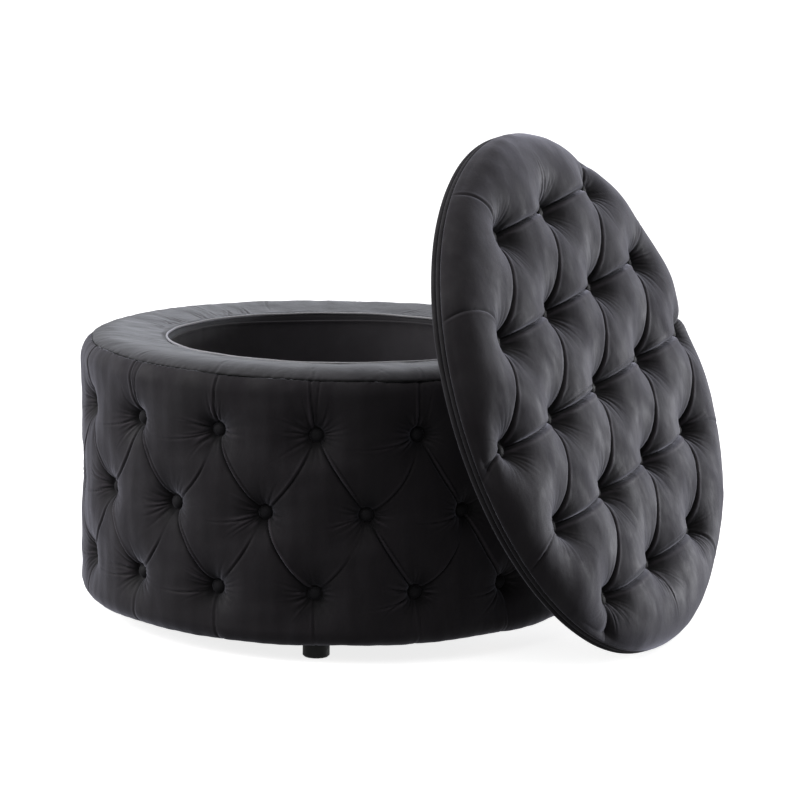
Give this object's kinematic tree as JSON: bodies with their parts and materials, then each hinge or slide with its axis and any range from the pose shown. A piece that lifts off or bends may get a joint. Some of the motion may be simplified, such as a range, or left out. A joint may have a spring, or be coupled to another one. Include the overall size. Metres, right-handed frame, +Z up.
{
  "type": "storage ottoman",
  "caption": "Round button-tufted velvet storage ottoman with a lift-off padded lid, shown leaning on the rim of the open base.",
  "frame": {"origin": "on the floor, under the middle of the bounding box of the base and the leaning lid", "axes": "+Z up; +X from the base towards the leaning lid; +Y completes the right-handed frame"},
  "size_m": [0.9878, 0.8, 0.759],
  "materials": {
    "velvet": "soft black velvet pile with a grey sheen",
    "velvet_button": "buttons covered in the same velvet",
    "lining": "smooth black lining cloth",
    "dust_cloth": "black non-woven cloth",
    "foam": "open-cell polyurethane foam",
    "plywood": "raw plywood",
    "fibreboard": "raw fibreboard",
    "stop_wood": "sawn pine",
    "foot_plastic": "black moulded plastic",
    "zinc": "zinc-plated steel"
  },
  "bodies": {
    "base": {"feet": "foot_plastic", "foot_bolts": "zinc", "tee_nuts": "zinc", "dust_cover": "dust_cloth", "bottom_panel": "plywood", "base_screws": "zinc", "ribs": "plywood", "top_ring": "plywood", "ring_screws": "zinc", "outer_wall": "fibreboard", "inner_wall": "fibreboard", "wall_foam": "foam", "rim_foam": "foam", "wall_cover": "velvet", "rim_cover": "velvet", "well_lining": "lining", "well_floor": "fibreboard", "floor_lining": "lining", "buttons_top_row": "velvet_button", "buttons_middle_row": "velvet_button", "buttons_bottom_row": "velvet_button"},
    "lid": {"lid_board": "plywood", "lid_foam": "foam", "lid_cover": "velvet", "lid_band": "velvet", "lid_welt": "velvet", "lid_buttons": "velvet_button", "lid_lining": "dust_cloth", "lid_stops": "stop_wood", "lid_stop_screws": "zinc"}
  },
  "joints": [
    {"name": "lid_lift", "type": "slide", "parent": "base", "child": "lid", "axis": [0, 0, 1], "range_m": [0, 0.46]}
  ]
}
